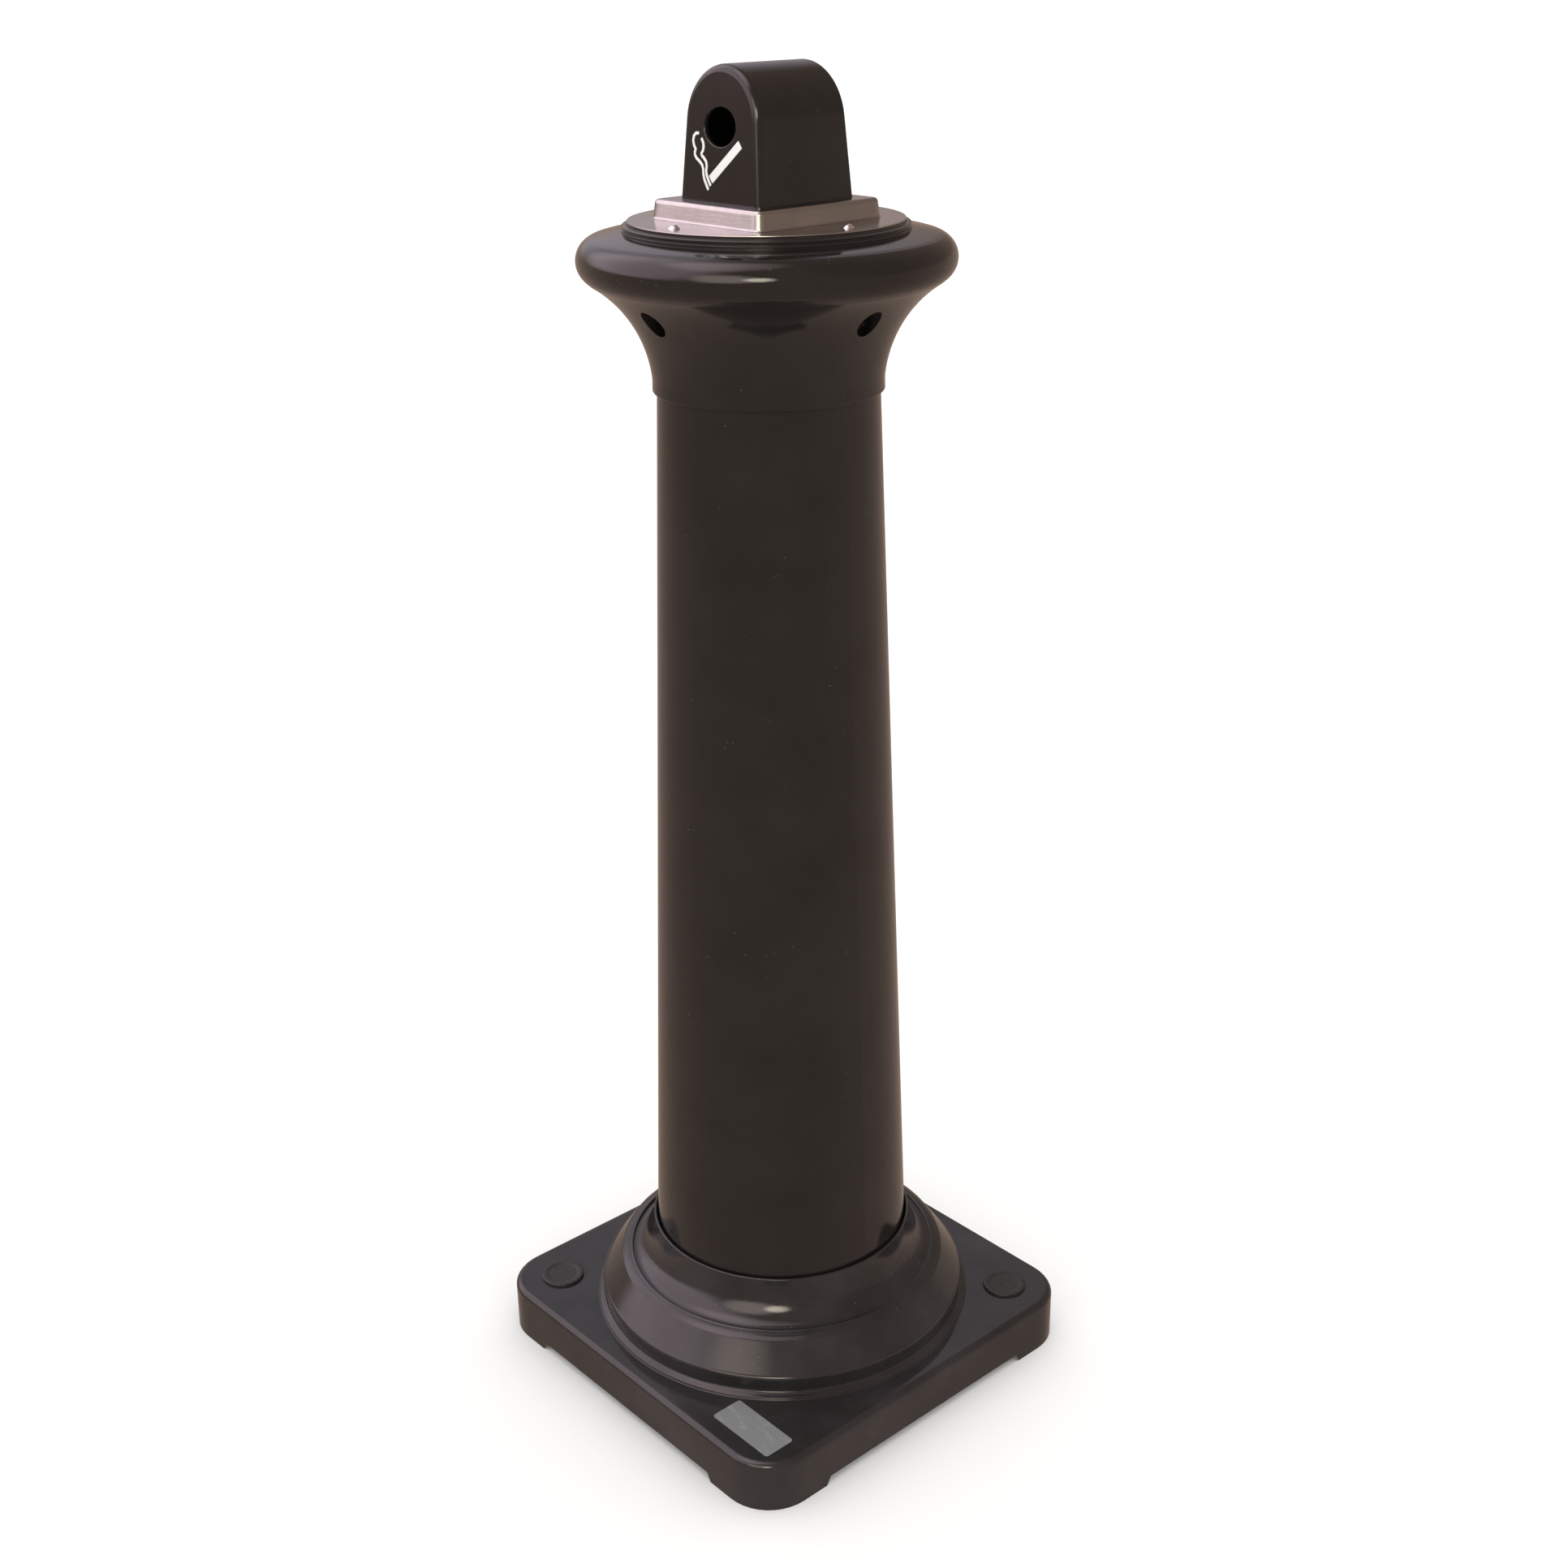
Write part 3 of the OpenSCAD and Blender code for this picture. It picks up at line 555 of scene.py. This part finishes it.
def build_plug(name, side):
    """A push-in plug: a flat cap with a faint dish and rim over a short skirt."""
    skirt_r = 13.2
    skirt_foot = low(name).z
    plug = lathe(name + "_cap", rounded([
        (0, plug_top - 0.7), (11, plug_top - 0.7, 3), (14, plug_top, 2), (plug_cap_r, plug_top, 1.1),
        (plug_cap_r, slab_h), (skirt_r, slab_h), (skirt_r, skirt_foot, 0.5), (skirt_r - 2, skirt_foot, 0.5),
        (skirt_r - 2, slab_h), (0, slab_h)]))
    shifted(plug, side * plug_at, side * plug_at)
    finished(plug, name.replace("anchor_", ""), "plug_plastic", plug_finish, name)


# ------------------------------------------------------------------ capital
flare_r = 85
neck_r = 78.4
flare_z = capital_foot_z + 8
rim_section = 15.5
rim_centre = rim_r - rim_section
rim_z = flare_z + 78.5
sleeve_r = 74.8
spigot_top = high("column_tube").z


def flare(offset, steps):
    """The concave flare between the neck and the rim, moved inwards by offset."""
    start, end = 5, 58.3
    made = []
    for i in range(steps + 1):
        a = math.radians(start + (end - start) * i / steps)
        r = neck_r + flare_r * (math.cos(math.radians(start)) - math.cos(a)) - offset * math.cos(a)
        z = flare_z + flare_r * (math.sin(a) - math.sin(math.radians(start))) + offset * math.sin(a)
        made.append((r, z))
    return made


def outside_of_capital(offset):
    """The capital's outer form as one solid, moved inwards by offset."""
    return lathe("capital_form", [
        (0, flare_z), *flare(offset, 30),
        *arc(rim_centre, rim_z, rim_section - offset, rim_section - offset, -56, 66, 24),
        (0, seat_z - offset)])


def capital_outline():
    """The capital's wall as (radius, height) points: lip, flare, bulging rim, seat and sleeve."""
    shell = 4
    lip_z = capital_foot_z
    mouth_r = plate_r - 3.2
    seam = 0.16                 # depth of the moulding line round the rim
    bulge = []
    for i in range(62):
        angle = -56 + 2 * i
        section = rim_section - (seam if abs(angle + 6) <= 1 else 0)
        bulge.append((rim_centre + section * math.cos(math.radians(angle)),
                      rim_z + section * math.sin(math.radians(angle))))
    inner_flare = [p for p in reversed(flare(shell, 30)) if p[0] > sleeve_r + 3.7]
    return [
        *rounded([(76.1, lip_z + 5), (76.1, lip_z, 0.6), (78.6, lip_z, 2.4), flare(0, 30)[0]])[1:-1],
        *flare(0, 40), *bulge,
        *arc(rim_centre - 0.6, rim_z - 0.4, rim_section + 0.4, rim_section + 0.4, 70, 76, 3),
        (lid_r + 1.5, seat_z), (mouth_r, seat_z), (mouth_r, seat_z - 5.5),
        *arc(rim_centre, rim_z, rim_section - shell, rim_section - shell, 69, -54, 20),
        *inner_flare, (sleeve_r + 3.2, inner_flare[-1][1] - 12), (sleeve_r + 3.2, spigot_top + 2),
        (sleeve_r, spigot_top + 2), (sleeve_r, lip_z + 5),
    ]


def radial_rod(r, start, end):
    """A rod along +X from one radius to another, at the screw pockets' height."""
    return shifted(turned(post("rod", r, start, end), 90, "Y"), z=flare_z + 46)


def build_capital():
    """The capital with its four screw pockets, each a blind cup that stands in the hollow rim."""
    pocket_r, pocket_floor = 8.5, sleeve_r + 9
    capital = lathe("capital_moulding", capital_outline())
    for quarter in range(4):
        cup = radial_rod(pocket_r + 3, sleeve_r + 0.5, rim_centre)
        turned(cup, 90 * quarter, "Z")
        carve(cup, outside_of_capital(1), "INTERSECT")
        carve(capital, cup, "UNION")
        carve(capital, turned(radial_rod(pocket_r, pocket_floor, rim_r + 5), 90 * quarter, "Z"))
        carve(capital, turned(radial_rod(2.45, sleeve_r - 1, pocket_floor + 1), 90 * quarter, "Z"))
    finished(capital, "column", "black_plastic", body_black, "capital_shell")


# ------------------------------------------------------------------ lid
web_z = plate_z - 4             # underside of the ring's web
mouth_gap_r = plate_r - 3.7     # outside of the skirt that drops into the capital
rivet_pitch_r = 77.5            # circle of the plate's rivets
head_screw_at = 31              # head screws, from the centre line each way


def build_lid_ring():
    """The ring that carries the steel plate: two fine lips outside, a skirt and a web inside."""
    skirt_z = low("lid_ring").z
    skirt_in = mouth_gap_r - 3.2
    mouth_r = 50
    outline = rounded([
        (skirt_in, skirt_z, 0.6), (mouth_gap_r, skirt_z, 0.6), (mouth_gap_r, seat_z), (lid_r, seat_z, 0.2),
        (lid_r, seat_z + 1.4, 0.5), (lid_r - 1.2, seat_z + 1.7, 0.3), (lid_r - 1.2, seat_z + 2.6, 0.3),
        (lid_r - 0.4, seat_z + 2.9, 0.3), (lid_r - 0.4, seat_z + 4.1, 0.5),
        (lid_r - 1.8, seat_z + 4.5, 0.6),
        (plate_r + 0.3, seat_z + 4.6, 0.3), (plate_r + 0.3, plate_z), (mouth_r, plate_z), (mouth_r, web_z),
        (skirt_in, web_z)])
    ring = lathe("lid_collar", outline)
    for turn in range(4):
        hole = post("hole", 2.05, web_z - 1, plate_z + 1)
        carve(ring, turned(shifted(hole, rivet_pitch_r), 90 * turn, "Z"))
        screw_hole = post("screw_hole", 1.55, web_z - 1, web_z + 3)
        carve(ring, turned(shifted(screw_hole, 58), 90 * turn + 45, "Z"))
    finished(ring, "lid", "ring_plastic", ring_black, "lid_ring")


def build_steel_plate():
    """One pressed sheet: a flat disc, a raised square plinth with soft folds, and the drop hole."""
    half, corner = 54.5, 7
    fold, lean, foot = 3, 1.2, 1.4
    drop_r = 27
    face_z = plate_z + sheet

    def around_plinth(inset, z):
        return square_ring(half - inset, corner - min(inset, corner - 1), z)

    top = [round_ring(drop_r, plinth_z - 0.4), round_ring(drop_r + 0.4, plinth_z)]
    top += [around_plinth(lean + fold - x, z)
            for x, z in arc(0, plinth_z - fold, fold, fold, 90, 0, 8)]
    top += [around_plinth(x, z) for x, z in arc(-foot, face_z + foot, foot, foot, 0, -90, 5)]
    rim = [round_ring(plate_r - 0.3 + x, z)
           for x, z in arc(0, plate_z + sheet / 2, 0.3, sheet / 2, 90, -90, 6)]
    inner = lean + sheet
    under = [around_plinth(sheet + x, z) for x, z in arc(-foot, plate_z + foot, foot, foot, -90, 0, 5)]
    under += [around_plinth(inner + fold - sheet - x, z)
              for x, z in arc(0, plinth_z - fold, fold - sheet, fold - sheet, 0, 90, 6)]
    under += [round_ring(drop_r, plinth_z - sheet)]
    plate = loft("stub_plate", [*top, *rim, *under])
    for turn in range(4):
        rivet_hole = post("hole", 2.05, plate_z - 1, face_z + 1)
        carve(plate, turned(shifted(rivet_hole, rivet_pitch_r), 90 * turn, "Z"))
        screw_hole = post("hole", 2.05, plate_z - 1, plinth_z + 1)
        carve(plate, turned(shifted(screw_hole, head_screw_at, head_screw_at), 90 * turn, "Z"))
    finished(plate, "lid", "stainless", steel, "snuff_plate")


# ------------------------------------------------------------------ head
arch_r = 35.6
arch_z = head_top - arch_r
head_h = head_top - plinth_z
head_lean = 5
hole_z = plinth_z + 46.4


def arch_outline(inset, foot_z):
    """Points round the head's front outline, from one foot over the arch to the other."""
    away = Vector((-head_half_w, arch_z - plinth_z))
    slope = math.atan2(away.y, away.x) - math.asin(arch_r / away.length) - math.pi / 2
    foot_x = head_half_w - inset / math.cos(slope) + (plinth_z - foot_z) * math.tan(slope)
    side_top = Vector(((arch_r - inset) * math.cos(slope), arch_z + (arch_r - inset) * math.sin(slope)))
    climb = [Vector((foot_x, foot_z)).lerp(side_top, k / 8) for k in range(8)]
    over = [Vector(p) for p in arc(0, arch_z, arch_r - inset, arch_r - inset,
                                   math.degrees(slope), 180 - math.degrees(slope), 64)]
    return [*climb, *over, *[Vector((-p.x, p.y)) for p in reversed(climb)]]


def head_form(name, wall_t, foot_z):
    """The head's closed form, shrunk by a wall: rounded in front, crisper behind, leaning in on both."""
    front_r, rear_r = 5 - wall_t, max(2 - wall_t, 0.6)

    def ring(inset, side, step):
        made = []
        for p in arch_outline(inset + wall_t, foot_z):
            face = head_half_d - wall_t - head_lean * (p.y - plinth_z) / head_h - step
            made.append(Vector((p.x, side * face, p.y)))
        return made

    front = [ring(front_r + x, -1, front_r - y) for x, y in arc(0, 0, -front_r, front_r, 90, 0, 12)]
    rear = [ring(rear_r + x, 1, rear_r - y) for x, y in arc(0, 0, -rear_r, rear_r, 0, 90, 5)]
    front[0] = ring(front_r, -1, 0)
    return loft(name, [*front, *rear], closed=False, caps=True)


def build_head():
    """Arched hood with an oval hole in its front, hollow inside, with four screw bosses."""
    wall_t = 3
    hole_r, hole_h, lip = 15, 12, 1.1
    head = head_form("arched_head", 0, plinth_z)
    carve(head, head_form("inside", wall_t, plinth_z - 1))
    hole = lathe("hole", [(0, -12), (hole_r, -12), *arc(hole_r + lip, -lip, lip, lip, 180, 96, 8),
                          (hole_r + lip - 0.1, 6), (0, 6)])
    placed(hole, Matrix.Diagonal((1, hole_h / hole_r, 1, 1)))
    turned(hole, 90 - math.degrees(math.atan(head_lean / head_h)), "X")
    face_y = -head_half_d + head_lean * (hole_z - plinth_z) / head_h
    carve(head, shifted(hole, 0, face_y, hole_z))
    for sx in (-1, 1):
        for sy in (-1, 1):
            boss = post("boss", 7, plinth_z, plinth_z + 14)
            carve(head, shifted(boss, sx * head_screw_at, sy * head_screw_at), "UNION")
            bore = post("bore", 2.05, plinth_z - 1, plinth_z + 11)
            carve(head, shifted(bore, sx * head_screw_at, sy * head_screw_at))
    finished(head, "lid", "black_plastic", body_black, "head_shell")


build_base()
build_lid_ring()
build_steel_plate()
build_head()
build_label()
build_plug("anchor_plug_left", -1)
build_plug("anchor_plug_right", 1)
build_capital()


# ------------------------------------------------------------------ CAD nodes that keep their shape
def dress(material, slot, *names):
    """Gives CAD nodes that stay a procedural finish."""
    for name in names:
        obj = nodes[name]
        for place in obj.material_slots:
            place.material = material


dress(body_black, "black_plastic", "column_tube")
dress(rivet_steel, "rivet_steel", "plate_rivets", "ear_rivets")
dress(ink, "sign_white", "pictogram")
dress(zinc_sheet, "galvanised", "drop_funnel", "pail_body", "pail_bottom", "pail_ears")
dress(screw_zinc, "zinc_fasteners", "ballast_screws", "head_screws", "funnel_screws")
dress(screw_black, "zinc_fasteners", "capital_screws")
dress(wire_zinc, "bail_steel", "bail_wire")
dress(grip_black, "grip_plastic", "bail_grip")
dress(casting, "cast_iron", "ballast_plate")


# ------------------------------------------------------------------ stage, light and camera
def build_floor():
    """A plain pale floor, far wider than the view."""
    reach = 60000
    corners = [(-reach, -reach, 0), (reach, -reach, 0), (reach, reach, 0), (-reach, reach, 0)]
    floor = mesh_object("floor", corners, [(0, 1, 2, 3)])
    pale = Finish("pale_floor", Roughness=0.9)
    pale.link(pale.blend(pale.noise(0.8, 3), (0.955, 0.950, 0.940), (0.945, 0.940, 0.930)), "Base Color")
    floor.data.materials.append(pale.material)
    floor.visible_glossy = False


def compass(azimuth, elevation):
    """Direction towards a point of the studio: azimuth 0 is the front, -Y, and 90 the right, +X."""
    a, e = math.radians(azimuth), math.radians(elevation)
    return Vector((math.sin(a) * math.cos(e), -math.cos(a) * math.cos(e), math.sin(e)))


class Studio:
    """The world: even white light on everything, and soft boxes that only glossy surfaces mirror."""

    def __init__(self, ambient, surroundings):
        world = bpy.data.worlds.new("studio")
        bpy.context.scene.world = world
        world.use_nodes = True
        self.tree = world.node_tree
        self.ambient = ambient
        self.direction = self.tree.nodes.new("ShaderNodeTexCoord").outputs["Generated"]
        self.sum = Vector(surroundings)
        heights = self.tree.nodes.new("ShaderNodeSeparateXYZ")
        self.tree.links.new(self.direction, heights.inputs[0])
        self.above = self.fade(heights.outputs["Z"], 0.0, 0.14)

    def vector_maths(self, operation, first, second):
        made = self.tree.nodes.new("ShaderNodeVectorMath")
        made.operation = operation
        for index, value in enumerate((first, second)):
            if isinstance(value, bpy.types.NodeSocket):
                self.tree.links.new(value, made.inputs[index])
            else:
                made.inputs[index].default_value = value
        return made

    def fade(self, value, none_at, full_at):
        """Goes smoothly from 0 to 1 between two values."""
        made = self.tree.nodes.new("ShaderNodeMapRange")
        made.interpolation_type = "SMOOTHSTEP"
        self.tree.links.new(value, made.inputs["Value"])
        made.inputs["From Min"].default_value = none_at
        made.inputs["From Max"].default_value = full_at
        return made.outputs["Result"]

    def soft_box(self, azimuth, elevation, inner, outer, colour):
        """A round patch of light above the floor: full inside the inner angle, gone at the outer one."""
        facing = self.vector_maths("DOT_PRODUCT", self.direction, compass(azimuth, elevation))
        spread = self.fade(facing.outputs["Value"], math.cos(math.radians(outer)),
                           math.cos(math.radians(inner)))
        patch = self.vector_maths("SCALE", Vector(colour), (0, 0, 0))
        self.tree.links.new(spread, patch.inputs["Scale"])
        patch = self.vector_maths("SCALE", patch.outputs["Vector"], (0, 0, 0))
        self.tree.links.new(self.above, patch.inputs["Scale"])
        self.sum = self.vector_maths("ADD", self.sum, patch.outputs["Vector"]).outputs["Vector"]

    def close(self):
        new, link = self.tree.nodes.new, self.tree.links.new
        rays = new("ShaderNodeLightPath")
        choose = new("ShaderNodeMix")
        choose.data_type = "RGBA"
        link(rays.outputs["Is Glossy Ray"], choose.inputs[0])
        choose.inputs[6].default_value = (*self.ambient, 1)
        link(self.sum, choose.inputs[7])
        link(choose.outputs[2], self.tree.nodes["Background"].inputs["Color"])


def build_light():
    studio = Studio((1.24, 1.235, 1.225), (0.42, 0.31, 0.25))
    studio.soft_box(165, 25, 45, 85, (-0.15, -0.12, -0.10))
    studio.soft_box(-45, 36, 26, 54, (1.70, 1.42, 1.62))
    studio.soft_box(-112, 32, 8, 38, (0.34, 0.38, 0.50))
    studio.soft_box(-20, 72, 8, 28, (1.40, 1.15, 1.20))
    studio.soft_box(22, 19, 8, 24, (2.60, 2.25, 2.05))
    studio.soft_box(44, 19, 2, 11, (10.0, 9.2, 7.4))
    studio.close()


def build_camera():
    """The eye at the height and the distance that give the object its perspective."""
    azimuth = math.radians(48.64)
    turn_in = math.radians(-0.281)
    pitch = math.radians(22.56)
    roll = math.radians(-0.756)
    distance, height = 1.3618, 1.0429
    eye = Vector((math.sin(azimuth) * distance, -math.cos(azimuth) * distance, height))
    heading = azimuth + turn_in
    forward = Vector((-math.sin(heading) * math.cos(pitch), math.cos(heading) * math.cos(pitch),
                      -math.sin(pitch)))
    level = forward.cross(Vector((0, 0, 1))).normalized()
    upright = level.cross(forward)
    right = level * math.cos(roll) + upright * math.sin(roll)
    up = upright * math.cos(roll) - level * math.sin(roll)
    camera = bpy.data.objects.new("camera", bpy.data.cameras.new("camera"))
    camera.data.sensor_width = 36
    camera.data.lens = 46.36
    camera.matrix_world = Matrix((right, up, -forward)).transposed().to_4x4()
    camera.location = eye
    bpy.context.scene.collection.objects.link(camera)
    bpy.context.scene.camera = camera


build_floor()
build_light()
build_camera()
bpy.context.scene.view_settings.view_transform = "Standard"
